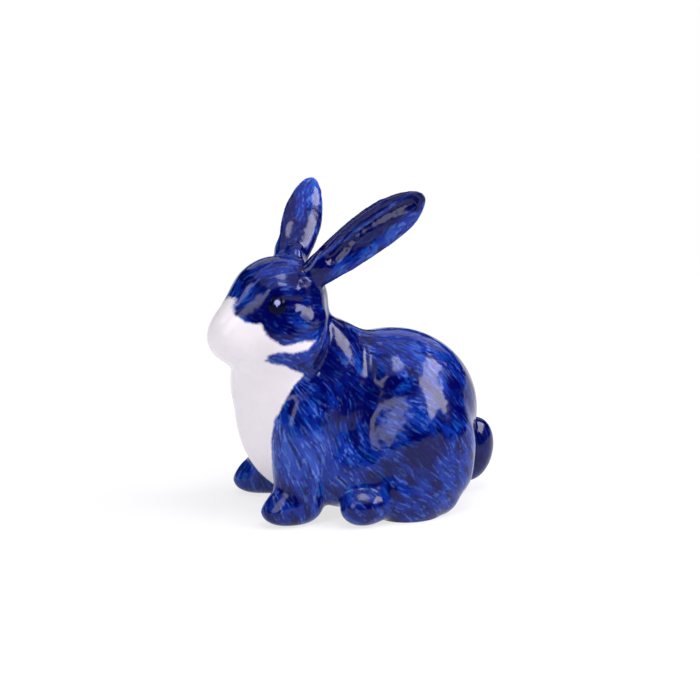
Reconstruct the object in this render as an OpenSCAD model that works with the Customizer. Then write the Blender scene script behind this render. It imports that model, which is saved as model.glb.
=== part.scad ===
// Sitting rabbit figurine of glazed porcelain, cast in pieces that are joined with slip.
// The nose points along -Y, +Z is up, the rabbit's left side is +X, and the paws stand on Z = 0.

/* [Body] */
// Width over the haunches
body_width = 53; // [46:1:58]
// Length from the chest to the rump
body_length = 72; // [66:1:80]
// Height of the back above the ground
back_height = 50; // [46:1:56]
// Distance of the middle of the body behind the origin
body_back = 1.3; // [0:0.1:4]
// Thickness of the cast wall of the body and the head
wall = 3; // [2:0.5:4]
// Diameter of the air holes in the belly and between the two hollows
air_hole_d = 3.5; // [2:0.5:4]

/* [Head] */
// Width over the cheeks
head_width = 30; // [26:0.5:32]
// Length from the back of the skull to the nose
head_length = 37; // [34:0.5:40]
// Height of the head from the jowl to the crown
head_height = 33; // [30:0.5:36]
// Height of the middle of the skull above the ground
head_rise = 59.5; // [56:0.5:62]
// Turn of the nose to the rabbit's left
head_turn_angle = 15; // [5:1:20]
// Tilt that lifts the left cheek
head_roll_angle = 6; // [0:1:10]
// Width of an eye
eye_d = 5; // [4:0.25:6]
// How far an eye stands out of the cheek
eye_proud = 1.1; // [0.6:0.1:1.6]

/* [Ears] */
// Length of the left ear from its root to the tip
left_ear_length = 36.5; // [32:0.5:40]
// Length of the right ear from its root to the tip
right_ear_length = 30; // [27:0.5:34]
// Angle of the left ear to its side, seen from the front
left_ear_splay_angle = 30; // [20:1:40]
// Angle of the right ear to its side, seen from the front
right_ear_splay_angle = 53; // [45:1:58]
// Angle of the left ear backwards, seen from the side
left_ear_lean_angle = 50; // [40:1:54]
// Angle of the right ear backwards, seen from the side
right_ear_lean_angle = 36; // [28:1:44]
// Width of an ear across its widest part
ear_width = 12.4; // [9:0.2:14]
// Depth of an ear from its back to the rims
ear_depth = 4.4; // [3.5:0.1:5.5]
// Depth of the channel inside an ear
ear_channel = 2.4; // [1.5:0.1:3]

/* [Legs and tail] */
// Length of a front paw
paw_length = 17; // [15:0.5:19]
// Width of a front paw
paw_width = 10.6; // [9:0.2:12]
// Height of a front paw
paw_height = 9.4; // [8:0.2:11]
// Length of a hind foot
foot_length = 34.5; // [31:0.5:38]
// Width of a hind foot
foot_width = 11; // [10:0.2:13]
// Height of a hind foot
foot_height = 9.6; // [8:0.2:11]
// Height of the tail
tail_height = 19.6; // [14:0.2:22]
// Width of the tail
tail_width = 12; // [10:0.2:14]
// How far the tail stands out behind the rump
tail_out = 5.6; // [4:0.2:7]
// How deep the paws are ground flat
sole_cut = 0.5; // [0.3:0.1:0.8]

/* [Hidden] */
cobalt = [0.09, 0.13, 0.5];
glaze_black = [0.04, 0.04, 0.07];

// Numbers of points round and along each moulded form
body_sides = 64;
body_rings = 36;
head_rings = 18;
limb_sides = 24;
limb_rings = 20;
tail_rings = 14;
ear_steps = 2;
hollow_rings = 8;
settle_steps = 8;
// Length by which every cut runs past what it cuts
overrun = 1;
round_fn = 48;

// Half sizes that the tables of shares below are measured in
body_unit = [body_width / 2, body_length / 2, back_height];
head_unit = [head_width / 2, head_length / 2, head_height / 2];
body_place = [0, body_back, 0];

// A row of a clay table: place, radii, tilt in degrees, and how softly it melts into the rest
torso_shares = [
    [[0, 0.3, 0.525], [0.83, 0.69, 0.465], [0, 0, 0], 0],
    [[0, 0.05, 0.34], [0.65, 0.61, 0.31], [0, 0, 0], 0.16],
    [[0, -0.52, 0.56], [0.56, 0.44, 0.46], [6, 0, 0], 0.18],
    [[0, -0.45, 0.86], [0.48, 0.39, 0.28], [-10, 0, 0], 0.12],
    [[0, -0.68, 0.76], [0.42, 0.3, 0.2], [0, 0, 0], 0.1],
    [[0, -0.17, 0.8], [0.46, 0.31, 0.25], [0, 0, 0], 0.12]
];
flank_shares = [
    [[0.58, 0.41, 0.37], [0.42, 0.44, 0.34], [0, 0, 0], 0.06],
    [[0.42, -0.42, 0.52], [0.27, 0.28, 0.34], [0, 0, 0], 0.1],
    [[0.46, -0.06, 0.26], [0.35, 0.5, 0.22], [0, 0, 0], 0.1],
    [[0.545, 0.42, 0.215], [0.43, 0.4, 0.2], [0, 0, 0], 0.06]
];
skull_shares = [
    [[0, 0, 0], [0.9, 0.77, 0.8], [0, 0, 0], 0],
    [[0, -0.76, -0.45], [0.52, 0.45, 0.47], [0, 0, 0], 0.48]
];
cheek_shares = [
    [[0.43, 0.05, -0.56], [0.57, 0.65, 0.61], [0, 0, 0], 0.3]
];
// Creases pressed into the clay: the points of each line, then its depth and how far the clay gives way
jowl_shares = [[0.23, -0.245, 1.17], [0.35, -0.246, 1.108], [0.46, -0.264, 1.036], [0.525, -0.294, 0.96],
               [0.575, -0.386, 0.872], [0.59, -0.503, 0.812]];
shoulder_shares = [[0.23, -0.003, 1.004], [0.343, 0.036, 0.94], [0.487, 0.025, 0.852], [0.596, 0.008, 0.75],
                   [0.687, -0.019, 0.62], [0.725, -0.036, 0.52]];
jowl_crease = [0.032, 0.1];
shoulder_crease = [0.026, 0.12];
hollow_shares = [
    [[0, 0.3, 0.54], [0.77, 0.65, 0.4], [0, 0, 0], 0],
    [[0, 0.05, 0.36], [0.42, 0.4, 0.29], [0, 0, 0], 0.08],
    [[0, -0.48, 0.54], [0.35, 0.42, 0.34], [0, 0, 0], 0.12]
];

// Places on the body and in the head
body_core_share = 0.54;
skull_share = -0.617;
neck_seat_shares = [0, -0.533, 0.93];
neck_tilt = 23;
jaw_angle = 58;
crown_share = 0.56;
upper_leg_shares = [[0.49, -0.53, 0.4], [0.31, 0.25, 0.38]];
paw_place_shares = [0.58, -0.66];
leg_seat_share = 0.35;
leg_melt_share = 0.1;
foot_place_shares = [0.81, 0.61];
foot_middle_share = 0.175;
foot_seat_share = 0.42;
// Toe and heel of a hind foot: place along its length, then radii along its width, length and height
toe_shares = [-0.3, 0.5, 0.2, 0.57];
heel_shares = [0.13, 0.73, 0.375, 0.6];
foot_toe_out_angle = 20;
foot_melt_share = 0.4;
tail_lift_share = 0.24;
tail_tilt = -12;
tail_depth_share = 0.66;

// Roots of the ears and the eyes, measured on the skull
ear_root_shares = [[0.47, 0.52, 0.6], [-0.38, 0.29, 0.67]];
eye_toward_shares = [0.74, -0.36, 0.07];
eye_sunk_share = 0.24;
// Rings of an ear from root to tip: place along the ear, half width, bow towards its back and channel
ear_ring_shares = [[0.12, 0.87, 0.015, 0.5], [0.25, 0.93, 0.03, 1], [0.42, 0.98, 0.045, 1], [0.6, 1, 0.05, 1],
                   [0.75, 0.93, 0.045, 0.95], [0.86, 0.77, 0.035, 0.75], [0.94, 0.52, 0.02, 0.5],
                   [0.985, 0.26, 0.01, 0.2]];
ear_root_ring_shares = [0, 0.8, 0, 0];
// How deep the root of an ear sits in the wall of the head
ear_sunk_share = 0.4;
ear_sides = 24;
ear_facings = [[1, -0.35, 0], [-1, 0.2, 0]];

// Geometry of the clay forms: every piece of clay is an ellipsoid, and neighbours melt together
function turned(a) =
    let (cx = cos(a.x), sx = sin(a.x), cy = cos(a.y), sy = sin(a.y), cz = cos(a.z), sz = sin(a.z))
    [[cz * cy, cz * sy * sx - sz * cx, cz * sy * cx + sz * sx],
     [sz * cy, sz * sy * sx + cz * cx, sz * sy * cx - cz * sx],
     [-sy, cy * sx, cy * cx]];
function flipped(m) = [for (i = [0:2]) [for (j = [0:2]) m[j][i]]];
function times(a, b) = [a.x * b.x, a.y * b.y, a.z * b.z];
function over(a, b) = [a.x / b.x, a.y / b.y, a.z / b.z];
function unit(v) = v / norm(v);
function mirrored(v) = [-v.x, v.y, v.z];

// A ball of clay is [centre, radii, matrix back into its own axes, melting length]
function ball(place, radii, frame, soft) = [place, radii, flipped(frame), soft];
function balls_of(rows, place, size, frame, soft) =
    [for (r = rows)
        ball(place + frame * times(r[0], size), times(r[1], size), frame * turned(r[2]), r[3] * soft)];
function other_side(rows) =
    [for (r = rows) [mirrored(r[0]), r[1], [r[2].x, -r[2].y, -r[2].z], r[3]]];
function depth_in(b, p) =
    let (f = over(b[2] * (p - b[0]), b[1]), n = norm(f)) n * (n - 1) / max(norm(over(f, b[1])), 0.0001);
function melted(a, b, soft) =
    soft == 0 ? min(a, b) : let (h = max(soft - abs(a - b), 0) / soft) min(a, b) - h * h * soft / 4;
function level(balls, p, i = 1, sum = undef) =
    let (now = is_undef(sum) ? depth_in(balls[0], p) : sum)
    i >= len(balls) ? now : level(balls, p, i + 1,
        is_list(balls[i][0].x) ? now + dent(balls[i], p) : melted(now, depth_in(balls[i], p), balls[i][3]));

// A crease stands among the balls as [points of its line, depth, reach]
function crease(rows, sizes) = [[for (r = rows) body_place + times(r, body_unit)], sizes[0], sizes[1]];
function to_span(p, a, b) = norm(p - a - max(0, min(1, (p - a) * (b - a) / ((b - a) * (b - a)))) * (b - a));
function dent(b, p) =
    let (near = max(0, 1 - min([for (i = [1:len(b[0]) - 1]) to_span(p, b[0][i - 1], b[0][i])]) / b[2]))
    b[1] * near * near * (3 - 2 * near);

// How far a ray from c along u goes before it leaves a ball
function way_out(b, c, u) =
    is_list(b[0].x) ? 0 :
    let (
        q = over(b[2] * (c - b[0]), b[1]),
        d = over(b[2] * u, b[1]),
        h = q * d,
        e = h * h - (d * d) * (q * q - 1)
    )
    e < 0 ? 0 : (sqrt(e) - h) / (d * d);
function settled(balls, c, u, r, inset, steps) =
    steps == 0 ? r : settled(balls, c, u, r - level(balls, c + r * u) - inset, inset, steps - 1);
function reach(balls, c, u) =
    settled(balls, c, u, max([for (b = balls) way_out(b, c, u)]), 0, settle_steps);
function skin_point(balls, c, u) = c + reach(balls, c, u) * u;

// Directions on a ring at a polar angle from an axis frame
function spun(frame, polar, a) = frame * [sin(polar) * cos(a), sin(polar) * sin(a), cos(polar)];
function ring_ways(frame, polar, sides) = [for (j = [0:sides - 1]) spun(frame, polar, 360 * j / sides)];
function ring_points(balls, c, frame, polar, sides) =
    [for (u = ring_ways(frame, polar, sides)) skin_point(balls, c, u)];
function rings_between(balls, c, frame, from, to, steps, sides) =
    [for (i = [0:steps - 1]) ring_points(balls, c, frame, from + (to - from) * i / (steps - 1), sides)];
function hole_angle(balls, c, frame, r) = 180 - asin(r / reach(balls, c, frame * [0, 0, -1]));

// A closed skin over rings of points, with one point at each end
module skin(tip, rings, end) {
    n = len(rings[0]);
    rows = len(rings) - 2;
    last = 1 + n * (len(rings) - 1);
    polyhedron(
        points = concat([tip], [for (r = rings) each r], [end]),
        faces = concat(
            [for (j = [0:n - 1]) [0, 1 + (j + 1) % n, 1 + j]],
            [for (i = [0:rows], j = [0:n - 1])
                let (a = 1 + i * n, k = (j + 1) % n)
                each [[a + j, a + k, a + n + k], [a + j, a + n + k, a + n + j]]],
            [for (j = [0:n - 1]) [last + n, last + j, last + (j + 1) % n]]
        )
    );
}

upright = turned([0, 0, 0]);
head_frame = turned([0, -head_roll_angle, head_turn_angle]);
skull_place = body_place + [0, skull_share * body_unit.y, head_rise];
neck_frame = turned([neck_tilt, 0, 0]);
neck_seat = body_place + times(neck_seat_shares, body_unit);
neck_way = neck_frame * [0, 0, 1];
crown_rise = crown_share * head_height;
core_depth = body_core_share * back_height;
body_core = neck_seat - core_depth * neck_way;

clay = concat(
    balls_of(torso_shares, body_place, body_unit, upright, back_height),
    balls_of(concat(flank_shares, other_side(flank_shares)), body_place, body_unit, upright, back_height),
    balls_of(concat(skull_shares, cheek_shares, other_side(cheek_shares)), skull_place, head_unit, head_frame,
        head_unit.z),
    [for (rows = [jowl_shares, [for (r = jowl_shares) mirrored(r)]]) crease(rows, jowl_crease * back_height)],
    [for (rows = [shoulder_shares, [for (r = shoulder_shares) mirrored(r)]])
        crease(rows, shoulder_crease * back_height)]
);
hollow_balls = [for (b = balls_of(hollow_shares, body_place, body_unit, upright, back_height))
    [b[0], b[1] - wall * [1, 1, 1], b[2], b[3]]];

// The cast body: outer skin from the flat neck down, hollow, and the vent in the belly
function below_neck(u) =
    let (rise = u * neck_way, far = max([for (b = clay) way_out(b, body_core, u)]))
    body_core
        + settled(clay, body_core, u, rise > 0 ? min(far, core_depth / rise) : far, 0, settle_steps) * u;
module torso_clay() {
    vent = air_hole_d / 2;
    outer_end = hole_angle(clay, body_core, neck_frame, vent);
    inner_end = hole_angle(hollow_balls, body_core, neck_frame, vent);
    step = 360 / body_sides;
    rim = ring_points(clay, neck_seat, neck_frame, 90, body_sides);
    starts = [for (p = rim) atan2(norm(p - neck_seat), core_depth)];
    outer = [for (i = [1:body_rings])
        [for (j = [0:body_sides - 1])
            below_neck(spun(neck_frame, starts[j] + (outer_end - starts[j]) * i / body_rings, step * j))]];
    inner = rings_between(hollow_balls, body_core, neck_frame, inner_end, step, body_rings / 3, body_sides);
    skin(neck_seat, concat([rim], outer, inner), skin_point(hollow_balls, body_core, neck_way));
}

module torso() {
    color(cobalt) difference() {
        torso_clay();
        translate(neck_seat) rotate([neck_tilt, 0, 0]) translate([0, 0, -4 * wall])
            cylinder(h = 4 * wall + overrun, d = air_hole_d, $fn = round_fn);
        foreleg_clay();
        mirror([1, 0, 0]) foreleg_clay();
        hind_foot_clay();
        mirror([1, 0, 0]) hind_foot_clay();
        tail_clay();
    }
}

// The cast head is an open cup whose rim stands on the neck
module head_clay() {
    tip = neck_frame * [0, 0, 1];
    step = 90 / head_rings;
    outer = concat(
        rings_between(clay, neck_seat, neck_frame, step, jaw_angle, head_rings / 2, body_sides),
        rings_between(clay, neck_seat, neck_frame, jaw_angle + step, 90, head_rings / 2, body_sides)
    );
    inner = [for (i = [0:hollow_rings - 1])
        let (polar = 90 - (90 - 2 * step) * i / (hollow_rings - 1))
        [for (u = ring_ways(neck_frame, polar, body_sides)) inside_head(u)]];
    skin(skin_point(clay, neck_seat, tip), concat(outer, inner), inside_head(tip));
}
function inside_head(u) =
    let (
        far = reach(clay, neck_seat, u),
        thin = min(far - wall, settled(clay, neck_seat, u, far - wall, wall, settle_steps)),
        rise = max(u * neck_way, 0)
    )
    neck_seat + min(thin, rise * thin > crown_rise ? crown_rise / rise : thin) * u;

module head() {
    color(cobalt) difference() {
        head_clay();
        ear_clay(0);
        ear_clay(1);
        eye_clay(1);
        eye_clay(-1);
    }
}

// Ears: a leaf with a channel on its outer side
ear_lengths = [left_ear_length, right_ear_length];
ear_leans = [left_ear_lean_angle, right_ear_lean_angle];
ear_splays = [left_ear_splay_angle, -right_ear_splay_angle];
function ear_frame(i) =
    let (
        along = unit([tan(ear_splays[i]), tan(ear_leans[i]), 1]),
        facing = ear_facings[i],
        front = unit(facing - (facing * along) * along),
        side = cross(front, along)
    )
    [side, front, along];
function ear_point(i, ring, a) =
    let (
        f = ear_frame(i),
        half = ring[1] * ear_width / 2,
        thick = ear_depth / 2 * (0.5 + 0.5 * ring[1]),
        lift = thick * sin(a) - max(sin(a), 0) ^ 3 * (thick + ear_channel - ear_depth / 2) * ring[3]
    )
    skull_place + times(ear_root_shares[i], head_unit)
        + half * cos(a) * f[0] + (lift - ring[2] * ear_lengths[i]) * f[1] + ring[0] * ear_lengths[i] * f[2];
// A smooth curve through the rows of a table, and the slide of a point along u to its depth in the head
function curved(rows, k) =
    let (last = len(rows) - 1, i = min(floor(k), last - 1), t = k - i,
        a = rows[max(i - 1, 0)], b = rows[i], c = rows[i + 1], d = rows[min(i + 2, last)])
    (2 * b + t * (c - a) + t ^ 2 * (2 * a - 5 * b + 4 * c - d) + t ^ 3 * (3 * b - a - 3 * c + d)) / 2;
function slid(p, u, steps) =
    steps == 0 ? p : slid(p - (level(clay, p) + ear_sunk_share * wall) * u, u, steps - 1);
module ear_clay(i) {
    root = skull_place + times(ear_root_shares[i], head_unit);
    along = ear_frame(i)[2];
    last = ear_steps * (len(ear_ring_shares) - 1);
    turns = [for (j = [0:ear_sides - 1]) 360 * j / ear_sides];
    rings = [for (k = [last:-1:0]) [for (a = turns) ear_point(i, curved(ear_ring_shares, k / ear_steps), a)]];
    seat = [for (a = turns) slid(ear_point(i, ear_root_ring_shares, a), along, settle_steps)];
    skin(root + ear_lengths[i] * along, concat(rings, [seat]), slid(root, along, settle_steps));
}
module left_ear() {
    color(cobalt) ear_clay(0);
}
module right_ear() {
    color(cobalt) ear_clay(1);
}

// Eyes: glazed lenses set into the cheeks
module eye_clay(side) {
    toward = times(eye_toward_shares, head_unit);
    way = unit(head_frame * (side > 0 ? toward : mirrored(toward)));
    place = skin_point(clay, skull_place, way);
    sunk = eye_sunk_share * eye_d;
    translate(place) rotate([0, acos(way.z), atan2(way.y, way.x)]) intersection() {
        lens_half(eye_proud);
        mirror([0, 0, 1]) lens_half(sunk);
    }
}
module lens_half(h) {
    r = (eye_d ^ 2 / 4 + h ^ 2) / (2 * h);
    translate([0, 0, h - r]) sphere(r, $fn = round_fn);
}
module left_eye() {
    color(glaze_black) eye_clay(1);
}
module right_eye() {
    color(glaze_black) eye_clay(-1);
}

// A limb is a stack of rings round the line between its two ends, and is flat where it sits in the body
module limb(balls, from, to, frame, seat) {
    tip = skin_point(balls, from, frame * [0, 0, 1]);
    end = skin_point(balls, to, frame * [0, 0, -1]);
    rings = [for (i = [1:limb_rings])
        let (core = end + (tip - end) * (1 + cos(180 * i / (limb_rings + 1))) / 2)
        [for (u = ring_ways(frame, 90, limb_sides)) seated_point(balls, core, u, seat)]];
    skin(tip, rings, end);
}
function seated_point(balls, core, u, seat) =
    let (far = reach(balls, core, u))
    core + (u.x < 0 ? min(far, (seat - core.x) / u.x) : far) * u;
module ground() {
    big = 2 * (body_length + body_width);
    translate([-big / 2, -big / 2, -big]) cube(big);
}
module foreleg_clay() {
    leg_place = body_place + times(upper_leg_shares[0], body_unit);
    paw_rise = paw_height / 2 - sole_cut;
    paw_place = [paw_place_shares.x * body_unit.x, paw_place_shares.y * body_unit.y, paw_rise];
    paw_size = [paw_width, paw_length, paw_height] / 2;
    balls = [
        ball(leg_place, times(upper_leg_shares[1], body_unit), upright, 0),
        ball(body_place + paw_place, paw_size, upright, leg_melt_share * back_height)
    ];
    limb(balls, balls[0][0], balls[1][0], upright, leg_seat_share * body_unit.x);
}
module hind_foot_clay() {
    middle = body_place + [0, foot_middle_share * body_unit.y, foot_height / 2 - sole_cut];
    size = [foot_width, foot_length, foot_height];
    balls = [for (i = [0, 1]) let (s = [toe_shares, heel_shares][i])
        ball(
            middle + [foot_place_shares[i] * body_unit.x, s[0] * foot_length, (s[3] - 0.5) * foot_height],
            times([s[1], s[2], s[3]], size),
            turned([0, 0, i * foot_toe_out_angle]),
            i * foot_melt_share * foot_height
        )];
    limb(balls, balls[0][0], balls[1][0], turned([90, 0, 0]), foot_seat_share * body_unit.x);
}
module left_foreleg() {
    color(cobalt) difference() {
        foreleg_clay();
        ground();
    }
}
module right_foreleg() {
    mirror([1, 0, 0]) left_foreleg();
}
module left_hind_foot() {
    color(cobalt) difference() {
        hind_foot_clay();
        ground();
    }
}
module right_hind_foot() {
    mirror([1, 0, 0]) left_hind_foot();
}

// The tail is an upright egg pressed against the rump
module tail_clay() {
    size = [tail_width, tail_depth_share * tail_height, tail_height] / 2;
    place = body_place + [0, body_unit.y + tail_out - size.y, tail_lift_share * back_height];
    balls = [ball(place, size, turned([tail_tilt, 0, 0]), 0)];
    step = 180 / (tail_rings + 1);
    skin(
        skin_point(balls, place, [0, 0, 1]),
        rings_between(balls, place, upright, step, 180 - step, tail_rings, limb_sides),
        skin_point(balls, place, [0, 0, -1])
    );
}
module tail() {
    color(cobalt) tail_clay();
}

torso();
head();
left_ear();
right_ear();
left_eye();
right_eye();
left_foreleg();
right_foreleg();
left_hind_foot();
right_hind_foot();
tail();
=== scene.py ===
import math
import bpy
import numpy as np
from mathutils import Matrix, Vector


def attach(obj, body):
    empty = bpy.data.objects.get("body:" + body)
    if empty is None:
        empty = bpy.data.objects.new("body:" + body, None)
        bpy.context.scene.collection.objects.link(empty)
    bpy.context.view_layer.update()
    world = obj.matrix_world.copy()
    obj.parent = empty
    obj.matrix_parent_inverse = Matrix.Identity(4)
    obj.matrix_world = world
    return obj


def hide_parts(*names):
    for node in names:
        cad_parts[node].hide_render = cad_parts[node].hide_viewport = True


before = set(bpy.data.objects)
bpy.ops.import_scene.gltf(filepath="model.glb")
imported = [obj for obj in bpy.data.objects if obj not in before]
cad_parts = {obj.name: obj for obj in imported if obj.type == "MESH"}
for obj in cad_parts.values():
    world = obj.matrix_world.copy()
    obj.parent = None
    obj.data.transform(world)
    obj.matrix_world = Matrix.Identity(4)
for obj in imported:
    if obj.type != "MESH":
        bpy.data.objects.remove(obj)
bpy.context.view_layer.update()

mm = 0.001

clayTools = {
    "weld": 0.01,  # mm within which the corners of a CAD node become one
    "ballSides": 32,
    "ballRings": 20,
    "lineGap": 0.4,  # mm from one touched place of a line to the next
    "touchFade": 1.6,  # how steeply a tool's touch fades toward its reach
    # a paddle this round, in mm, or rounder gets the second share of facets, others the first
    "widePaddle": 25,
    "paddleFineness": (2, 5),
    "cylinderSides": 48,
}


def alone(*pieces):
    bpy.ops.object.select_all(action="DESELECT")
    for piece in pieces:
        piece.select_set(True)
    bpy.context.view_layer.objects.active = pieces[0]


def inEditMode(piece, *steps):
    # each step is an operator and its settings, run on the whole mesh
    alone(piece)
    bpy.ops.object.mode_set(mode="EDIT")
    bpy.ops.mesh.select_all(action="SELECT")
    for operator, settings in steps:
        operator(**settings)
    bpy.ops.object.mode_set(mode="OBJECT")


def duplicateOf(piece, name):
    twin = bpy.data.objects.new(name, piece.data.copy())
    twin.data.name = name
    bpy.context.scene.collection.objects.link(twin)
    return twin


def copyOf(nodeName, name):
    piece = duplicateOf(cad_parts[nodeName], name)
    piece.data.materials.clear()
    inEditMode(piece, (bpy.ops.mesh.remove_doubles, {"threshold": clayTools["weld"] * mm}))
    return piece


def clayBall(name, place, radii, tilt=(0, 0, 0), fineness=1):
    bpy.ops.mesh.primitive_uv_sphere_add(segments=clayTools["ballSides"] * fineness,
                                         ring_count=clayTools["ballRings"] * fineness, radius=1,
                                         location=Vector(place) * mm, scale=Vector(radii) * mm,
                                         rotation=[math.radians(a) for a in tilt])
    ball = bpy.context.active_object
    ball.name = name
    bpy.ops.object.transform_apply(location=True, rotation=True, scale=True)
    return ball


def joined(name, *pieces):
    alone(*pieces)
    bpy.ops.object.join()
    piece = bpy.context.active_object
    piece.name = name
    piece.data.name = name
    return piece


def finished(piece, kind, **settings):
    alone(piece)
    step = piece.modifiers.new(kind.title(), kind)
    for key, value in settings.items():
        setattr(step, key, value)
    bpy.ops.object.modifier_apply(modifier=step.name)
    return piece


def discarded(piece):
    mesh = piece.data
    bpy.data.objects.remove(piece)
    bpy.data.meshes.remove(mesh)


def remeshed(piece, voxel):
    return finished(piece, "REMESH", mode="VOXEL", voxel_size=voxel * mm)


def smoothed(piece, times, group=""):
    return finished(piece, "SMOOTH", factor=0.5, iterations=times, vertex_group=group)


def places(piece):
    at = np.empty(len(piece.data.vertices) * 3)
    piece.data.vertices.foreach_get("co", at)
    return at.reshape(-1, 3) / mm


def normals(piece):
    facing = np.empty(len(piece.data.vertices) * 3)
    piece.data.vertices.foreach_get("normal", facing)
    return facing.reshape(-1, 3)


def spaced(line):
    points = [Vector(p) for p in line]
    out = [points[0]]
    for a, b in zip(points, points[1:]):
        steps = max(1, int((b - a).length / clayTools["lineGap"]))
        out += [a + (b - a) * (i + 1) / steps for i in range(steps)]
    return out


def worked(piece, line, reach, tool, **settings):
    # a tool takes the vertices nearest to a line, and the clay round them gives
    at = places(piece)
    chosen = {int(((at - np.array(p)) ** 2).sum(1).argmin()) for p in spaced(line)}
    for kind in ("vertices", "edges", "polygons"):
        parts = getattr(piece.data, kind)
        parts.foreach_set("select", np.zeros(len(parts), bool))
    for i in chosen:
        piece.data.vertices[i].select = True
    alone(piece)
    bpy.ops.object.mode_set(mode="EDIT")
    tool(use_proportional_edit=True, proportional_edit_falloff="SMOOTH",
         proportional_size=reach * mm, **settings)
    bpy.ops.object.mode_set(mode="OBJECT")


def pressed(piece, line, depth, reach):
    worked(piece, line, reach, bpy.ops.transform.shrink_fatten, value=-depth * mm)


def narrowed(piece, place, share, reach):
    # the clay round a place is pinched toward it
    worked(piece, [place], reach, bpy.ops.transform.resize, value=(share,) * 3,
           center_override=Vector(place) * mm)


def pulled(piece, place, move, reach):
    worked(piece, [place], reach, bpy.ops.transform.translate, value=Vector(move) * mm)


def touched(piece, name, spots):
    # a vertex group of what a tool touches: each spot is a place and how far it reaches
    group = piece.vertex_groups.new(name=name)
    at = places(piece)
    weights = np.zeros(len(at))
    for place, reach in spots:
        far = np.linalg.norm(at - np.array(place), axis=1)
        near = np.clip(clayTools["touchFade"] * (1 - far / reach), 0, 1)
        weights = np.maximum(weights, near * near * (3 - 2 * near))
    for i in np.nonzero(weights)[0]:
        group.add([int(i)], float(weights[i]), "REPLACE")


def wiped(piece, spots, times):
    # joins are wiped smooth with a wet sponge
    touched(piece, "sponge", spots)
    smoothed(piece, times, "sponge")
    piece.vertex_groups.clear()


def paddled(piece, place, way, radius, reach):
    # a gently hollow paddle rounds the clay where it touches
    touched(piece, "paddle", [(place, reach)])
    middle = Vector(place) - Vector(way).normalized() * radius
    fineness = clayTools["paddleFineness"][radius >= clayTools["widePaddle"]]
    paddle = clayBall("paddle", middle, (radius,) * 3, fineness=fineness)
    finished(piece, "SHRINKWRAP", target=paddle, wrap_method="NEAREST_SURFACEPOINT",
             vertex_group="paddle")
    discarded(paddle)
    piece.vertex_groups.clear()


# where the head and the ears stand, as in the cast part
skullPlace = np.array((0, -20.9, 59.5))
headAside, headTilt = math.radians(15), math.radians(-6)
headTurn = np.array(Matrix.Rotation(headAside, 3, "Z") @ Matrix.Rotation(headTilt, 3, "Y"))
neckPlace = Vector((0, -17.9, 46.5))
neckTilt = 23
earRoots = {"left_ear": (7.05, -11.3, 69.4), "right_ear": (-5.7, -15.5, 70.6)}
earWays = {"left_ear": (0.348, 0.7185, 0.603), "right_ear": (-0.7316, 0.4005, 0.5513)}
limbNames = ("left_foreleg", "right_foreleg", "left_hind_foot", "right_hind_foot", "tail")


def acrossBody(line):
    return [(-x, y, z) for x, y, z in line]


def inHead(points):
    return (np.array(points) - skullPlace) @ headTurn


def outOfHead(points):
    return np.array(points) @ headTurn.T + skullPlace


def acrossHead(line):
    return [tuple(p) for p in outOfHead(inHead(line) * (-1, 1, 1))]


def upTheNeck():
    return Matrix.Rotation(math.radians(neckTilt), 3, "X") @ Vector((0, 0, 1))


figureClay = {
    "coarseVoxel": 0.8,
    "fineVoxel": 0.5,
    # how often the clay is softened: the body alone, with its ears, and after the tools
    "softenBody": 4,
    "softenAll": 10,
    "softenMarks": 9,
    # facets of an ear become one up to this far out of flat and out of square, in degrees
    "earQuads": (50, 60),
    "earRefining": 2,
    # place, radii and tilt of the balls that fill the cast hollows
    "cores": [((0, 12.1, 27), (19.5, 22.5, 19.5), (0, 0, 0)),
              ((0, 3.1, 18), (10, 14, 13), (0, 0, 0)),
              ((0, -16, 27), (9, 14, 16), (0, 0, 0)),
              ((0, -21, 52), (9.5, 11, 14), (-20, 0, 0)),
              ((0, 5, 8), (4, 4, 7), (0, 0, 0))],
    # balls on both sides that carry the haunch down to the sole behind the toe
    "footFills": [((18.4, 12, 6.4), (8.2, 11.6, 9.5), (0, 0, 0)),
                  ((16, 19, 6), (8, 8.5, 7.5), (0, 0, 20)),
                  ((18.8, 6.5, 9), (6.3, 7, 8.5), (0, 0, 0))],
    # balls of clay that seat the ears
    "earSeats": [((6.8, -11.4, 69.8), (2.6, 4.6, 4.4), (35, 0, -20)),
                 ((-5.4, -15.2, 70.8), (5, 2.8, 4), (0, -35, 10)),
                 ((-8.4, -16.8, 71.2), (3.2, 3.1, 5), (0, -45, 0))],
    # place of the tip, to what share it is pinched and how far down
    "earTips": {"left_ear": ((19.3, 13.9, 90.6), 0.8, 9),
                "right_ear": ((-27.3, -3.6, 86.6), 0.45, 18)},
    # place of a pull, how far it goes and how far the clay follows
    "earPulls": {"left_ear": [((19.3, 13.9, 90.6), (0.1, 0.3, 0.5), 8)],
                 "right_ear": [((-27.3, -3.6, 86.6), (0.7, 0.5, 2), 13)]},
    "wipes": 60,  # how often the sponge passes
    # where it wipes and how far it reaches: on both sides of the body, and where the ears stand
    "bodyWipes": [((15.5, -16, 41), 7), ((18, -9.8, 33), 6), ((18.6, -9.3, 26), 6),
                  ((19.8, -10.2, 18), 6), ((24, 14, 11), 10), ((23, 22, 10), 8),
                  ((22, 6.5, 12), 6.5), ((22, 6, 27), 13), ((19, 14, 39), 13),
                  ((24, 16, 22), 13), ((25, 8, 15), 9), ((24.5, 4, 10), 5)],
    "headWipes": [((8.2, -9.8, 69.6), 8), ((5.4, -13.4, 71.5), 6), ((-6.5, -15, 71.5), 8),
                  ((-9.5, -17, 72.5), 7), ((-2.5, -15.5, 73), 6)],
}


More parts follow.
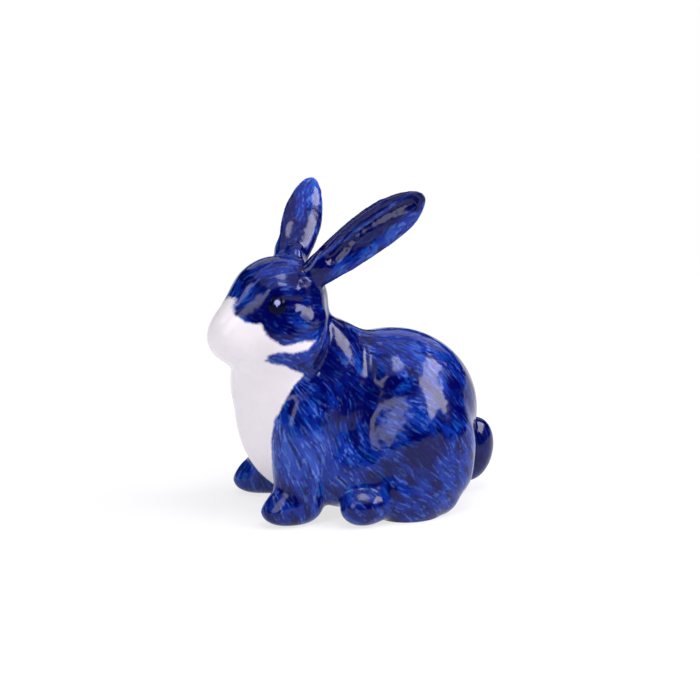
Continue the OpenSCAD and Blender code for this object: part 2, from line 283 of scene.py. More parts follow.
def buildClay():
    casts = [copyOf(name, "clay_" + name) for name in ("torso", "head") + limbNames]
    cores = [clayBall("core", *core) for core in figureClay["cores"]]
    for place, radii, tilt in figureClay["footFills"]:
        cores += [clayBall("core", spot, radii, tilt) for spot in (place, *acrossBody([place]))]
    figure = joined("clay_figure", *casts, *cores)
    remeshed(figure, figureClay["coarseVoxel"])
    smoothed(figure, figureClay["softenBody"])
    leaves = []
    unflat, unsquare = (math.radians(a) for a in figureClay["earQuads"])
    refining = figureClay["earRefining"]
    for name in earRoots:
        leaf = copyOf(name, "clay_" + name)
        inEditMode(leaf, (bpy.ops.mesh.tris_convert_to_quads,
                          {"face_threshold": unflat, "shape_threshold": unsquare}))
        finished(leaf, "SUBSURF", levels=refining, render_levels=refining)
        narrowed(leaf, *figureClay["earTips"][name])
        for pull in figureClay["earPulls"][name]:
            pulled(leaf, *pull)
        leaves.append(leaf)
    seats = [clayBall("seat", *seat) for seat in figureClay["earSeats"]]
    figure = joined("clay_figure", figure, *leaves, *seats)
    remeshed(figure, figureClay["fineVoxel"])
    smoothed(figure, figureClay["softenAll"])
    spots = figureClay["bodyWipes"] + figureClay["headWipes"]
    spots += [(acrossBody([place])[0], reach) for place, reach in figureClay["bodyWipes"]]
    wiped(figure, spots, figureClay["wipes"])
    return figure


figure = buildClay()
print("clay figure:", len(figure.data.polygons), "faces")

# tool marks: the points of a line, how deep the tool goes and how far the clay gives;
# a minus adds clay
bodyMarks = {
    "shoulder": ([(6.1, 1.2, 50.2), (9.1, 2.6, 47), (12.9, 2.2, 42.6), (15.8, 1.6, 37.5),
                  (18.2, 0.6, 31)], 0.5, 4),
}
headMarks = {
    "jowl": ([(9.3, -7.6, 55.4), (12.2, -8.2, 51.8), (13.9, -9.3, 48), (15.2, -12.6, 43.6)],
             0.7, 2.5),
    "jowlRoll": ([(10.2, -10, 57), (13, -11.3, 53), (14.6, -13, 49.5), (15.4, -16.6, 46)],
                 -0.5, 3.5),
    "socket": ([(12.3, -24.4, 61.7)], -0.5, 4.2),
    "brow": ([(10.8, -26.2, 65.7), (11.1, -24, 66.5), (11.4, -21.8, 66.4), (11.5, -19, 65.9)],
             -0.5, 3),
    "chin": ([(9.7, -37.9, 47.8), (9.9, -34.6, 46.4), (10.3, -31.3, 45.4), (11.4, -28.8, 44.4)],
             0.35, 1.3),
    "lid": ([(12.7, -22.8, 62.8), (13.1, -21.2, 62.6), (13.2, -19.3, 62.1), (12.9, -17.2, 61.9)],
            0.5, 2.2),
    "cheek": ([(14, -18.7, 59.5), (13.9, -16.9, 58.8), (13.6, -15.1, 58)], -0.4, 3.5),
}
# where a paddle touches, the way that the clay then faces, how round it is in mm and how far
# it reaches
bodyPaddles = {
    "haunch": ((22.1, 6.6, 28.4), (0.77, -0.5, 0.4), 38, 14),
    "paw": ((18.4, -26.6, 7.6), (0.696, -0.508, 0.508), 16, 5),
    "toe": ((24.9, -4.6, 8.4), (0.69, -0.18, 0.7), 11, 4.5),
}
headPaddles = {
    "cheek": ((14.2, -16.8, 58.5), (0.875, 0.16, 0.457), 20, 4.2),
}
leftEarMarks = {
    "fold": ([(8.8, -8, 73.3), (9, -5.5, 75.9), (9.9, -3.2, 79.3), (11.2, -0.1, 82.2),
              (12.2, 2.4, 83.9), (13.8, 5.9, 86.3), (15.7, 9.3, 88.1), (17.8, 12, 89.5)],
             1.3, 2.6),
    "roll": ([(8.6, -8.5, 75.5), (9.3, -5.8, 78.5), (10.5, -2.8, 82), (12, 0.7, 85.4),
              (14, 4.7, 88.3)], -0.9, 2.6),
}


def markFigure():
    for line, depth, reach in bodyMarks.values():
        pressed(figure, line, depth, reach)
        pressed(figure, acrossBody(line), depth, reach)
    for line, depth, reach in headMarks.values():
        pressed(figure, line, depth, reach)
        pressed(figure, acrossHead(line), depth, reach)
    for line, depth, reach in leftEarMarks.values():
        pressed(figure, line, depth, reach)
    for place, way, radius, reach in bodyPaddles.values():
        paddled(figure, place, way, radius, reach)
        paddled(figure, *acrossBody([place, way]), radius, reach)
    for place, way, radius, reach in headPaddles.values():
        paddled(figure, place, way, radius, reach)
        farWay = headTurn @ (np.array(way) @ headTurn * (-1, 1, 1))
        paddled(figure, acrossHead([place])[0], farWay, radius, reach)
    smoothed(figure, figureClay["softenMarks"])
    bpy.ops.object.shade_smooth()


markFigure()
print("tool marks: pressed")

pieceCuts = {
    "limbMargin": 0.9,  # how far a cut stands off the cast limb
    "limbVoxel": 1.2,
    "earCylinder": (8, 45),  # radius and length
    "soleRise": 0.04,
    "ventRadius": 1.75,
    "ventPlace": (0, 0.1, 4.2),
    "ventDepth": 7,
    "ventLead": 2,  # how far outside the belly the hole starts
    "neckBlock": 130,
    "tableBlock": 200,
}


def booleaned(piece, cutter, how):
    return finished(piece, "BOOLEAN", operation=how, object=cutter, solver="MANIFOLD")


def cutAway(whole, cutter):
    booleaned(whole, cutter, "DIFFERENCE")
    discarded(cutter)


def cutOff(whole, cutter, name):
    part = duplicateOf(whole, name)
    booleaned(part, cutter, "INTERSECT")
    cutAway(whole, cutter)
    return part


def cylinderCutter(place, way, radius, length):
    way = Vector(way).normalized()
    bpy.ops.mesh.primitive_cylinder_add(vertices=clayTools["cylinderSides"], radius=radius * mm,
                                        depth=length * mm,
                                        location=(Vector(place) + way * length / 2) * mm,
                                        rotation=way.to_track_quat("Z", "Y").to_euler())
    bpy.ops.object.transform_apply(location=True, rotation=True, scale=True)
    return bpy.context.active_object


def limbCutter(nodeName):
    cutter = copyOf(nodeName, "cutter")
    remeshed(cutter, pieceCuts["limbVoxel"])
    inEditMode(cutter, (bpy.ops.transform.shrink_fatten, {"value": pieceCuts["limbMargin"] * mm}))
    return cutter


def blockCutter(middle, size, tilt=0.0):
    bpy.ops.mesh.primitive_cube_add(size=size * mm, location=Vector(middle) * mm,
                                    rotation=(tilt, 0, 0))
    bpy.ops.object.transform_apply(location=True, rotation=True, scale=True)
    return bpy.context.active_object


def cutPieces():
    size = pieceCuts["tableBlock"]
    cutAway(figure, blockCutter((0, 0, pieceCuts["soleRise"] - size / 2), size))
    whole = duplicateOf(figure, "whole_figure")
    figure.name = "torso_cast"
    lead, depth = pieceCuts["ventLead"], pieceCuts["ventDepth"]
    ventStart = Vector(pieceCuts["ventPlace"]) - lead * upTheNeck()
    cutAway(figure, cylinderCutter(ventStart, upTheNeck(), pieceCuts["ventRadius"], depth + lead))
    pieces = {"torso": figure}
    size = pieceCuts["neckBlock"]
    neckCutter = blockCutter(neckPlace + upTheNeck() * size / 2, size, math.radians(neckTilt))
    pieces["head"] = cutOff(figure, neckCutter, "head_cast")
    for name in earRoots:
        cutter = cylinderCutter(earRoots[name], earWays[name], *pieceCuts["earCylinder"])
        pieces[name] = cutOff(pieces["head"], cutter, name + "_glazed")
    for name in limbNames:
        pieces[name] = cutOff(figure, limbCutter(name), name + "_glazed")
    for piece in pieces.values():
        finished(piece, "DATA_TRANSFER", object=whole, use_loop_data=True,
                 data_types_loops={"CUSTOM_NORMAL"}, loop_mapping="POLYINTERP_NEAREST")
    discarded(whole)
    return pieces


pieces = cutPieces()
for name, piece in pieces.items():
    print("piece:", name, len(piece.data.polygons), "faces")

# outlines of the white face in the head's side view, and of the bib in degrees round the chest
# and height
whiteFace = [(-40, 3.4), (-14.8, 3.4), (-16.8, -0.7), (-15.1, -2.9), (-11.4, -3.2), (-9.8, -7.6),
             (-7.3, -9.4), (-4, -9.3), (2.8, -9.2), (0, -11.2), (-4.2, -12.1), (-7.7, -11.5),
             (-9.8, -12.1), (-10.5, -14), (-5.4, -15.8), (-1.4, -19), (-6, -24), (-40, -24)]
whiteBib = [(-60, 60), (0, 60), (34.5, 46.4), (49, 45.2), (60.7, 42.2), (57.3, 41.5), (47.8, 35.7),
            (40.5, 29.9), (38.2, 24.1), (37.8, 18.2), (34, 12), (25, 6), (0, 3), (-60, 3)]
paintLimits = {
    "bibScale": 0.34,  # mm of chest per degree
    "chestMiddle": -10,
    # how much lighter the blue runs toward the white, and over how many mm
    "thinning": 0.3,
    "thinningReach": 2.2,
    # mm within which guides run into one another
    "strokeSoftness": 2,
    "bodyToneSoftness": 2,
    "headToneSoftness": 1,
    "unpainted": -10.0,  # mm from the white on pieces that have none
}
# places on the clay and the way that the brush runs there
bodyStrokes = [
    ((15.1, -19.1, 41.2), (0.23, 0.66, -0.72)), ((17, -13.9, 37), (0.23, 0.59, -0.77)),
    ((14.2, -8.8, 42.9), (0.05, 0.74, -0.67)), ((11.4, -3.6, 46.9), (0.09, 0.79, -0.61)),
    ((19.1, -20.3, 31), (0.39, 0.4, -0.83)), ((19.4, -23.2, 21.3), (0.19, 0.21, -0.96)),
    ((21, -17.4, 22.7), (0.04, 0.41, -0.91)), ((17.7, -7, 29.4), (0.13, 0.31, -0.94)),
    ((19.5, -6.1, 21.2), (0.33, 0.26, -0.91)), ((15.8, 2.3, 39.6), (0.56, 0.71, -0.42)),
    ((13.8, 10.1, 44.2), (0.54, 0.74, -0.4)), ((16.2, 18.1, 40.7), (0.2, 0.81, -0.55)),
    ((18.7, 24.7, 32.7), (0.13, 0.61, -0.78)), ((23.7, 25.4, 22.5), (-0.12, 0.52, -0.84)),
    ((25.6, 20.4, 14.8), (-0.24, 0.62, -0.75)), ((21.8, 3.3, 24), (0.49, 0.73, -0.48)),
    ((24.5, 7.4, 16.3), (0.25, 0.74, -0.63)), ((22, 1.8, 11.1), (0.11, 0.71, -0.69)),
    ((25, 12.5, 6.7), (-0.03, 0.79, -0.61)), ((24.4, 18.5, 9.4), (-0.37, 0.64, -0.67)),
    ((21.3, -3.8, 15.2), (0.15, 0.54, -0.83)), ((23.9, 9.8, 26.9), (0.42, 0.7, -0.58)),
    ((4, 38, 20), (0, 0.4, -0.9)), ((5, 33, 32), (0.1, 0.6, -0.8)), ((3, 12, 50), (0.3, 0.9, -0.1)),
]
headStrokes = [
    ((6.5, -30.7, 66.7), (-0.04, 0.68, 0.73)), ((4.4, -24.4, 71.4), (-0.05, 0.97, 0.26)),
    ((3.3, -17, 71.5), (-0.29, 0.93, -0.22)), ((12, -20.9, 65.3), (0.01, 1, -0.07)),
    ((15.1, -19, 55.3), (0, 0.92, -0.4)), ((13.4, -11.4, 51.5), (-0.44, 0.61, 0.66)),
    ((15.5, -19.1, 47.5), (-0.02, 0.98, -0.22)), ((13.3, -26.9, 58.2), (0.41, 0.67, -0.61)),
]
# places on the clay and how light the cobalt is there, from 0 dark to 1 light: mostly the paint's
# own uneven tone, with painted shade in the crease behind the jowl and behind the eye
bodyTones = [
    ((15.1, -19.1, 41.2), 0.22), ((17, -13.9, 37), 0.2), ((14.2, -8.8, 42.9), 0.12),
    ((11.4, -3.6, 46.9), 0.25), ((19.1, -20.3, 31), 0.4), ((19.4, -23.2, 21.3), 0.75),
    ((21, -17.4, 22.7), 0.75), ((17.7, -7, 29.4), 0.05), ((19.5, -6.1, 21.2), 0.45),
    ((15.8, 2.3, 39.6), 0.02), ((13.8, 10.1, 44.2), 0.4), ((16.2, 18.1, 40.7), 0.4),
    ((18.7, 24.7, 32.7), 0.12), ((23.7, 25.4, 22.5), 0.4), ((25.6, 20.4, 14.8), 0.4),
    ((21.8, 3.3, 24), 0.3), ((24.5, 7.4, 16.3), 0), ((25.8, 12.1, 21.4), 0),
    # the first two are painted shade: darker in the crease behind the jowl
    ((12.2, -8.2, 51.8), -0.2), ((14.5, -11, 46), -0.2), ((19.4, -2, 27), 0.1),
    ((21.6, 5.9, 28.8), 0.6), ((22, 1.8, 11.1), 0.25), ((25, 12.5, 6.7), 0.4),
    ((21.3, -3.8, 15.2), 0.5), ((23.9, 9.8, 26.9), 0.45), ((17.5, 4.5, 33), 0.02),
    ((2, 38, 18), -0.08), ((0, 12, 52), 0.5), ((19.5, -24.8, 7.1), 0.3),
    ((25.4, -4.5, 7), 0.3), ((12, 0, 4), 0.4),
]
headTones = [
    ((6.5, -30.7, 66.7), 0.2), ((4.4, -24.4, 71.4), 0.18), ((3.3, -17, 71.5), 0.18),
    ((12, -20.9, 65.3), 0.45), ((9.6, -20.2, 68.6), 0.1), ((15.1, -19, 55.3), 0.25),
    ((13.4, -11.4, 51.5), 0.25), ((15.5, -19.1, 47.5), 0.35), ((13.3, -26.9, 58.2), 0),
    # the second is painted shade: darker in the crease behind the eye
    ((12.3, -24.4, 61.7), -0.3), ((13.1, -20.6, 62.6), -0.2), ((14, -18.7, 59.5), 0.3),
    ((10, -12, 66), 0), ((8.2, -10, 60), 0.1),
]
earPaint = {
    "up": (-0.356, -0.467, 0.762),  # across the left ear, toward its upper edge
    # the left ear's tones from its lower to its upper edge in mm, and how bold they are from
    # root to tip; the dark band is painted shade in the channel under the rolled rim, and the light
    # line at 2.7 mm a painted highlight along the rim
    "across": [(-6, -5, -3.8, -2.2, -0.6, 0.8, 2, 2.7, 3.4, 4.5),
               (0, 0.3, 0.7, 0.45, -0.1, -0.5, -0.6, 0.6, 0, -0.1)],
    "bold": [(0, 6, 18, 34), (0.5, 1.3, 1.2, 1)],
    # the right ear's tones from root to tip, lighter toward the tip as a painted sheen there
    "farAlong": [(0, 12, 20, 28), (0.1, 0.1, 0.3, 0.85)],
}


def insideBy(points, outline):
    # distance of flat points inside an outline, with a minus outside
    a = np.array(outline, float)
    b = np.roll(a, -1, axis=0)
    near = np.full(len(points), np.inf)
    crossings = np.zeros(len(points), int)
    for (ax, ay), (bx, by) in zip(a, b):
        dx, dy = bx - ax, by - ay
        t = (points[:, 0] - ax) * dx + (points[:, 1] - ay) * dy
        t = np.clip(t / (dx * dx + dy * dy), 0, 1)
        near = np.minimum(near, np.hypot(points[:, 0] - ax - t * dx, points[:, 1] - ay - t * dy))
        if ay != by:
            across = (ay > points[:, 1]) != (by > points[:, 1])
            crossings += across & (points[:, 0] < dx * (points[:, 1] - ay) / dy + ax)
    return np.where(crossings % 2 == 1, near, -near)


def spread(at, guides, soft):
    # each guide's value is spread over the clay, most to what is near
    total = np.zeros((len(at), 1))
    gathered = 0
    for place, value in guides:
        weight = 1 / (((at - np.array(place)) ** 2).sum(1, keepdims=True) + soft * soft) ** 2
        total += weight
        gathered = gathered + weight * np.atleast_1d(np.array(value, float))
    return gathered / total


def whiteness(at):
    # mm inside the white of the face or the bib
    face = insideBy(inHead(at)[:, 1:], whiteFace)
    scale = paintLimits["bibScale"]
    roundChest = np.degrees(np.arctan2(np.abs(at[:, 0]), paintLimits["chestMiddle"] - at[:, 1]))
    unrolled = np.stack([roundChest * scale, at[:, 2]], 1)
    bib = insideBy(unrolled, [(a * scale, z) for a, z in whiteBib])
    return np.maximum(face, bib)


def paintPlan(name, piece):
    at = places(piece)
    facing = normals(piece)
    local = inHead(at)
    white = whiteness(at)
    bodySide = np.where(at[:, :1] < 0, (-1, 1, 1), (1, 1, 1))
    headSide = np.where(local[:, :1] < 0, (-1, 1, 1), (1, 1, 1))
    nearBody, nearHead = at * bodySide, outOfHead(local * headSide)
    softness = paintLimits["strokeSoftness"]
    bodyWay = spread(nearBody, bodyStrokes, softness) * bodySide
    headWay = (spread(nearHead, headStrokes, softness) @ headTurn * headSide) @ headTurn.T
    inSkull = ((at - np.array(neckPlace)) @ np.array(upTheNeck()) > 0)[:, None]
    way = np.where(inSkull, headWay, bodyWay)
    bodyTone = spread(nearBody, bodyTones, paintLimits["bodyToneSoftness"])
    headTone = spread(nearHead, headTones, paintLimits["headToneSoftness"])
    tone = np.where(inSkull, headTone, bodyTone)[:, 0]
    tone = tone + paintLimits["thinning"] * np.clip(1 + white / paintLimits["thinningReach"], 0, 1)
    if name in earRoots:
        way = np.broadcast_to(np.array(earWays[name]), at.shape)
        fromRoot = at - np.array(earRoots[name])
        along = fromRoot @ np.array(earWays[name])
        if name == "left_ear":
            up = fromRoot @ np.array(earPaint["up"])
            tone = np.interp(up, *earPaint["across"]) * np.interp(along, *earPaint["bold"])
        else:
            tone = np.interp(along, *earPaint["farAlong"])
        white = np.full(len(at), paintLimits["unpainted"])
    way = way - facing * (way * facing).sum(1, keepdims=True)
    way = way / np.maximum(np.linalg.norm(way, axis=1, keepdims=True), 0.001)
    for key, kind, values in (("white", "FLOAT", white), ("tone", "FLOAT", tone),
                              ("stroke", "FLOAT_VECTOR", way)):
        layer = piece.data.attributes.new(key, kind, "POINT")
        field = "vector" if kind == "FLOAT_VECTOR" else "value"
        layer.data.foreach_set(field, np.ascontiguousarray(values).ravel())


for name, piece in pieces.items():
    paintPlan(name, piece)
print("paint plan: laid out")


def addNode(tree, kind, **settings):
    made = tree.nodes.new(kind)
    for key, value in settings.items():
        setattr(made, key, value)
    return made


def plug(tree, socket, value):
    if isinstance(value, bpy.types.NodeSocket):
        tree.links.new(value, socket)
    else:
        socket.default_value = value


def sums(tree, operation, *values, clamp=False):
    made = addNode(tree, "ShaderNodeMath", operation=operation, use_clamp=clamp)
    for i, value in enumerate(values):
        plug(tree, made.inputs[i], value)
    return made.outputs["Value"]


def vectors(tree, operation, *values):
    made = addNode(tree, "ShaderNodeVectorMath", operation=operation)
    for i, value in enumerate(values):
        plug(tree, made.inputs["Scale" if operation == "SCALE" and i == 1 else i], value)
    return made.outputs["Value" if operation in ("DOT_PRODUCT", "LENGTH") else "Vector"]


def ranged(tree, value, low, high, start=0.0, end=1.0):
    made = addNode(tree, "ShaderNodeMapRange", interpolation_type="SMOOTHSTEP")
    for key, number in (("Value", value), ("From Min", low), ("From Max", high), ("To Min", start),
                        ("To Max", end)):
        plug(tree, made.inputs[key], number)
    return made.outputs["Result"]


def mixed(tree, factor, a, b):
    # a mix node has the same sockets for each kind of value: 6, 7 and output 2 are the colours'
    made = addNode(tree, "ShaderNodeMix", data_type="RGBA")
    for i, value in ((0, factor), (6, a), (7, b)):
        plug(tree, made.inputs[i], value)
    return made.outputs[2]


def cloudy(tree, place, scale, detail):
    made = addNode(tree, "ShaderNodeTexNoise")
    plug(tree, made.inputs["Vector"], place)
    made.inputs["Scale"].default_value = scale
    made.inputs["Detail"].default_value = detail
    return made


def swing(tree, value, reach):
    # a cloud's value round its middle, as much to either side as the reach allows
    return sums(tree, "MULTIPLY", sums(tree, "SUBTRACT", value, 0.5), reach)


def fromPicked(red, green, blue):
    # a colour picked from a screen, as the shader wants it
    def linear(c):
        c = c / 255
        return c / 12.92 if c <= 0.04045 else ((c + 0.055) / 1.055) ** 2.4
    return (linear(red), linear(green), linear(blue), 1)


cobaltGlaze = {
    "dark": fromPicked(1, 3, 76),
    "middle": fromPicked(7, 38, 132),
    "light": fromPicked(40, 70, 164),
    "strokeLight": fromPicked(84, 118, 196),
    "strokeDark": fromPicked(0, 1, 62),
    "teal": fromPicked(14, 88, 158),
    "white": fromPicked(229, 226, 225),
    "whiteShade": fromPicked(221, 216, 216),
    "roughness": 0.15,
    "shine": 0.27,
    # streaks: scale per mm, reach in mm along the brush, and how many places make one
    "hairScale": 1.3,
    "hairReach": 1.1,
    "darkScale": 1.04,
    "darkShift": (31.0, 17.0, 5.0),  # takes the dark strokes from another place of the cloud
    "patchScale": 0.34,
    "patchReach": 2.4,
    "taps": 7,
    # clouds: scale per mm, and how many finer ones lie in them
    "blotchCloud": (0.2, 2),
    "fineCloud": (1.1, 3),
    "bendCloud": (0.12, 0),
    "lumpCloud": (0.16, 2),
    "bend": 1.2,  # how much the brush strays from the guides
    # how much the patches and blotches change the tone
    "patchSwing": 1.6,
    "blotchSwing": 0.6,
    # tones between which dark turns to middle, and middle to light
    "toMiddle": (0.05, 0.5),
    "toLight": (0.45, 1),
    # where strokes start and are full in their cloud, and how strong they are
    "darkStrokes": (0.52, 0.6),
    "darkStrength": 0.75,
    "lightStrokes": (0.5, 0.62),
    "lightStrength": 0.9,
    "lightBase": 0.08,
    "tealFrom": (0.4, 0.6),
    # half the width of the white's edge in mm, and how finely and broadly it wanders
    "edge": 0.5,
    "edgeFine": 0.8,
    "edgeBroad": 1.6,
    "lumps": 0.35,  # mm by which the glaze lies uneven
}


def streaks(tree, place, stroke, scale, reach, taps):
    # a cloud drawn out along the brush, as the mean of some places along it
    total = 0.0
    for i in range(taps):
        step = vectors(tree, "SCALE", stroke, reach * (2 * i / (taps - 1) - 1))
        cloud = cloudy(tree, vectors(tree, "ADD", place, step), scale, 0)
        total = sums(tree, "ADD", cloud.outputs["Fac"], total)
    return sums(tree, "DIVIDE", total, float(taps))


def attributeNamed(tree, name, output="Fac"):
    return addNode(tree, "ShaderNodeAttribute", attribute_name=name).outputs[output]


def placeInMm(tree):
    return vectors(tree, "SCALE", addNode(tree, "ShaderNodeTexCoord").outputs["Object"], 1 / mm)


def paintColour(tree, glaze):
    place = placeInMm(tree)
    white, tone = attributeNamed(tree, "white"), attributeNamed(tree, "tone")
    blotch = cloudy(tree, place, *glaze["blotchCloud"]).outputs["Fac"]
    fine = cloudy(tree, place, *glaze["fineCloud"]).outputs["Fac"]
    cloud = cloudy(tree, place, *glaze["bendCloud"]).outputs["Color"]
    bend = vectors(tree, "SCALE", vectors(tree, "SUBTRACT", cloud, (0.5, 0.5, 0.5)), glaze["bend"])
    stroke = vectors(tree, "ADD", attributeNamed(tree, "stroke", "Vector"), bend)
    hairReach, taps = glaze["hairReach"], glaze["taps"]
    hairs = streaks(tree, place, stroke, glaze["hairScale"], hairReach, taps)
    shifted = vectors(tree, "ADD", place, glaze["darkShift"])
    dark = streaks(tree, shifted, stroke, glaze["darkScale"], hairReach, taps)
    patch = streaks(tree, place, stroke, glaze["patchScale"], glaze["patchReach"], taps)
    shade = sums(tree, "ADD", tone, swing(tree, patch, glaze["patchSwing"]))
    shade = sums(tree, "ADD", shade, swing(tree, blotch, glaze["blotchSwing"]), clamp=True)
    colour = mixed(tree, ranged(tree, shade, *glaze["toMiddle"]), glaze["dark"], glaze["middle"])
    colour = mixed(tree, ranged(tree, shade, *glaze["toLight"]), colour, glaze["light"])
    darkStroke = ranged(tree, dark, *glaze["darkStrokes"])
    darkStroke = sums(tree, "MULTIPLY", darkStroke, glaze["darkStrength"])
    colour = mixed(tree, darkStroke, colour, glaze["strokeDark"])
    strength = sums(tree, "MULTIPLY", shade, glaze["lightStrength"])
    strength = sums(tree, "ADD", strength, glaze["lightBase"], clamp=True)
    lightStroke = sums(tree, "MULTIPLY", ranged(tree, hairs, *glaze["lightStrokes"]), strength)
    teal = ranged(tree, blotch, *glaze["tealFrom"])
    tint = mixed(tree, teal, glaze["strokeLight"], glaze["teal"])
    colour = mixed(tree, lightStroke, colour, tint)
    edge = sums(tree, "ADD", white, swing(tree, fine, glaze["edgeFine"]))
    edge = sums(tree, "ADD", edge, swing(tree, blotch, glaze["edgeBroad"]))
    isWhite = ranged(tree, edge, -glaze["edge"], glaze["edge"])
    return mixed(tree, isWhite, colour, mixed(tree, blotch, glaze["white"], glaze["whiteShade"]))


def glazeMaterial(name, glaze):
    material = bpy.data.materials.new(name)
    material.use_nodes = True
    tree = material.node_tree
    shader = tree.nodes["Principled BSDF"]
    plug(tree, shader.inputs["Base Color"], paintColour(tree, glaze))
    shader.inputs["Roughness"].default_value = glaze["roughness"]
    shader.inputs["Specular IOR Level"].default_value = glaze["shine"]
    lumps = cloudy(tree, placeInMm(tree), *glaze["lumpCloud"]).outputs["Fac"]
    bump = addNode(tree, "ShaderNodeBump")
    bump.inputs["Strength"].default_value = 1
    bump.inputs["Distance"].default_value = mm
    plug(tree, bump.inputs["Height"], sums(tree, "MULTIPLY", lumps, glaze["lumps"]))
    plug(tree, shader.inputs["Normal"], bump.outputs["Normal"])
    return material


slots = {"torso": "painted_porcelain", "head": "painted_porcelain"}
slots.update({name: "ear_glaze" for name in earRoots})
slots.update({name: "limb_glaze" for name in limbNames})
glazes = {slot: glazeMaterial(slot, cobaltGlaze) for slot in dict.fromkeys(slots.values())}
for name, piece in pieces.items():
    slot = slots[name]
    piece.data.materials.clear()
    piece.data.materials.append(glazes[slot])
    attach(piece, "root")
    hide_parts(name)
print("glaze: brushed on", len(pieces), "pieces")

eyeGlaze = {
    "colour": fromPicked(2, 3, 22),
    "bluish": fromPicked(3, 6, 48),
    "cloud": (0.9, 3),
    "roughness": (0.05, 0.12),
    "shine": 0.06,
    # the way that the painted highlight faces, the cosines of its outer and inner edge, and how its
    # edge wanders
    "paintedHighlightWay": (0.84, -0.25, 0.44),
    "paintedHighlightEdge": (0.955, 0.99),
    "paintedHighlightSwing": 0.005,
    "paintedHighlightColour": fromPicked(150, 156, 206),
}


def eyeMaterial():
    material = bpy.data.materials.new("black_glaze")
    material.use_nodes = True
    tree = material.node_tree
    shader = tree.nodes["Principled BSDF"]
    cloud = cloudy(tree, placeInMm(tree), *eyeGlaze["cloud"]).outputs["Fac"]
    # both eyes carry the painted highlight: the normal's sideways part counts the same to either
    # side
    facing = addNode(tree, "ShaderNodeNewGeometry").outputs["Normal"]
    parts = addNode(tree, "ShaderNodeSeparateXYZ")
    plug(tree, parts.inputs["Vector"], facing)
    outward = addNode(tree, "ShaderNodeCombineXYZ")
    plug(tree, outward.inputs["X"], sums(tree, "ABSOLUTE", parts.outputs["X"]))
    plug(tree, outward.inputs["Y"], parts.outputs["Y"])
    plug(tree, outward.inputs["Z"], parts.outputs["Z"])
    paintedHighlightWay = Vector(eyeGlaze["paintedHighlightWay"]).normalized()
    near = vectors(tree, "DOT_PRODUCT", outward.outputs["Vector"], paintedHighlightWay)
    near = sums(tree, "ADD", near, swing(tree, cloud, eyeGlaze["paintedHighlightSwing"]))
    dark = mixed(tree, cloud, eyeGlaze["colour"], eyeGlaze["bluish"])
    # a pale painted highlight on the eye, where it faces up and forward
    spot = ranged(tree, near, *eyeGlaze["paintedHighlightEdge"])
    plug(tree, shader.inputs["Base Color"], mixed(tree, spot, dark, eyeGlaze["paintedHighlightColour"]))
    plug(tree, shader.inputs["Roughness"], ranged(tree, cloud, 0, 1, *eyeGlaze["roughness"]))
    shader.inputs["Specular IOR Level"].default_value = eyeGlaze["shine"]
    return material


blackGlaze = eyeMaterial()
for name in ("left_eye", "right_eye"):
    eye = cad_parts[name]
    for slot in eye.material_slots:
        slot.material = blackGlaze
print("eyes: glazed black")

studio = {
    "target": (2.5, -0.9, 45),
    "distance": 700,
    "azimuth": 73,
    "elevation": 15,
    "lens": 128.57,
    "sensor": 36,
    "clipStart": 0.05,
    "ambient": 0.14,
    "ambientColour": (1, 0.99, 0.98, 1),
    "paper": (0.86, 0.86, 0.87, 1),
    "paperRoughness": 0.9,
    "paperGlow": 0.72,  # near the figure; the far paper is white itself
    "shadowReach": (0.14, 0.35),  # where the glow starts to rise, and where it is full, in metres
    "floorRadius": 3.2,
    "floorSides": 96,
    "wallHeight": 0.2,
    "wallFlare": 0.5,
    "wallSteps": 8,
    # direction, distance, size along and across, the way that its length runs, radiance and colour
    "lamps": {
        "overhead strip": ((0.28, 0.68, 0.62), 700, (620, 240), (0.97, -0.24, -0.12),
                           12, (0.92, 0.88, 1)),
        "tall side box": ((0.52, -0.68, 0.48), 750, (550, 235), (0, 0.6, 1), 5, (0.91, 0.88, 1)),
        "small front box": ((-0.15, -0.74, 0.65), 700, (150, 150), (1, 0, 0),
                            5, (0.93, 0.92, 1)),
        "small top box": ((0.25, 0.05, 0.95), 800, (280, 240), (1, 0, 0), 9, (0.95, 0.94, 1)),
        "rear sheet": ((-0.8, 0.3, 0.52), 1300, (1500, 620), (0.35, 0.93, 0),
                       0.9, (0.93, 0.9, 1)),
        "ceiling": ((0, 0, 1), 1200, (1700, 1700), (1, 0, 0), 0.9, (0.98, 0.96, 1)),
    },
}


def buildCamera():
    turn, rise = math.radians(studio["azimuth"]), math.radians(studio["elevation"])
    level = math.cos(rise)
    away = Vector((math.sin(turn) * level, -math.cos(turn) * level, math.sin(rise)))
    data = bpy.data.cameras.new("camera")
    camera = bpy.data.objects.new("camera", data)
    bpy.context.scene.collection.objects.link(camera)
    camera.location = (Vector(studio["target"]) + studio["distance"] * away) * mm
    camera.rotation_euler = away.to_track_quat("Z", "Y").to_euler()
    data.lens = studio["lens"]
    data.sensor_width = studio["sensor"]
    data.clip_start = studio["clipStart"]
    bpy.context.scene.camera = camera


def softBox(name, way, distance, size, lengthWay, radiance, colour):
    away = Vector(way).normalized()
    along = (Vector(lengthWay) - away * away.dot(Vector(lengthWay))).normalized()
    data = bpy.data.lights.new(name, "AREA")
    data.shape = "RECTANGLE"
    data.size, data.size_y = size[0] * mm, size[1] * mm
    data.energy = radiance * math.pi * data.size * data.size_y
    data.color = colour
    lamp = bpy.data.objects.new(name, data)
    bpy.context.scene.collection.objects.link(lamp)
    turn = Matrix((along, away.cross(along), away)).transposed().to_4x4()
    lamp.matrix_world = Matrix.Translation((Vector(studio["target"]) + away * distance) * mm) @ turn


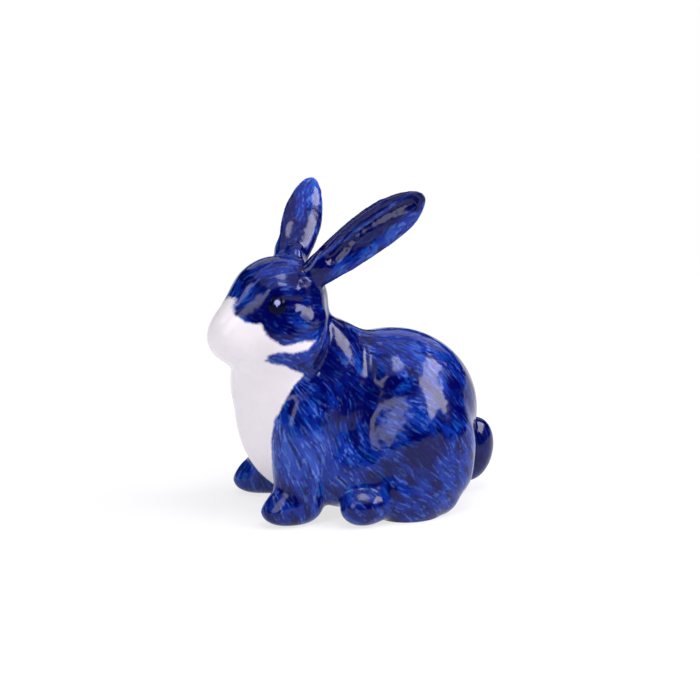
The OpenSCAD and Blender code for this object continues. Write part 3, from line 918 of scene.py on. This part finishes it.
def paperMaterial():
    # the paper takes the object's shadow, and is white itself to the camera and in the glaze
    material = bpy.data.materials.new("paper_sweep")
    material.use_nodes = True
    tree = material.node_tree
    shader = tree.nodes["Principled BSDF"]
    shader.inputs["Base Color"].default_value = studio["paper"]
    shader.inputs["Roughness"].default_value = studio["paperRoughness"]
    shader.inputs["Specular IOR Level"].default_value = 0
    rays = addNode(tree, "ShaderNodeLightPath")
    seen = sums(tree, "MAXIMUM", rays.outputs["Is Camera Ray"], rays.outputs["Is Glossy Ray"])
    seen = sums(tree, "MAXIMUM", seen, rays.outputs["Is Transmission Ray"])
    glow = addNode(tree, "ShaderNodeEmission")
    glow.inputs["Strength"].default_value = 1
    blend = addNode(tree, "ShaderNodeMixShader")
    far = vectors(tree, "LENGTH", addNode(tree, "ShaderNodeTexCoord").outputs["Object"])
    glowing = ranged(tree, far, *studio["shadowReach"], studio["paperGlow"], 1.0)
    plug(tree, blend.inputs[0], sums(tree, "MULTIPLY", seen, glowing))
    tree.links.new(shader.outputs["BSDF"], blend.inputs[1])
    tree.links.new(glow.outputs["Emission"], blend.inputs[2])
    tree.links.new(blend.outputs["Shader"], tree.nodes["Material Output"].inputs["Surface"])
    return material


def buildSweep():
    bpy.ops.object.select_all(action="DESELECT")
    bpy.ops.mesh.primitive_circle_add(vertices=studio["floorSides"], radius=studio["floorRadius"],
                                      fill_type="NGON", location=(0, 0, 0))
    sweep = bpy.context.active_object
    sweep.name = "paper_sweep"
    bpy.ops.object.mode_set(mode="EDIT")
    bpy.ops.mesh.select_all(action="SELECT")
    bpy.ops.mesh.normals_make_consistent(inside=False)
    bpy.ops.mesh.select_mode(type="EDGE")
    bpy.ops.mesh.region_to_loop()
    steps, radius, flare = studio["wallSteps"], studio["floorRadius"], studio["wallFlare"]
    for i in range(steps):
        a, b = math.radians(90 * i / steps), math.radians(90 * (i + 1) / steps)
        rise = studio["wallHeight"] * (math.cos(a) - math.cos(b))
        wider = (radius + flare * math.sin(b)) / (radius + flare * math.sin(a))
        bpy.ops.mesh.extrude_edges_move(TRANSFORM_OT_translate={"value": (0, 0, rise)})
        bpy.ops.transform.resize(value=(wider, wider, 1), center_override=(0, 0, 0))
    bpy.ops.object.mode_set(mode="OBJECT")
    sweep.data.materials.append(paperMaterial())


buildCamera()
for name, settings in studio["lamps"].items():
    softBox(name, *settings)
buildSweep()
world = bpy.data.worlds.new("studio")
bpy.context.scene.world = world
world.use_nodes = True
world.node_tree.nodes["Background"].inputs["Color"].default_value = studio["ambientColour"]
world.node_tree.nodes["Background"].inputs["Strength"].default_value = studio["ambient"]
world.cycles_visibility.glossy = False  # the room beyond the paper is dark
bpy.context.scene.view_settings.view_transform = "Standard"
print("studio: lamps, sweep and camera")
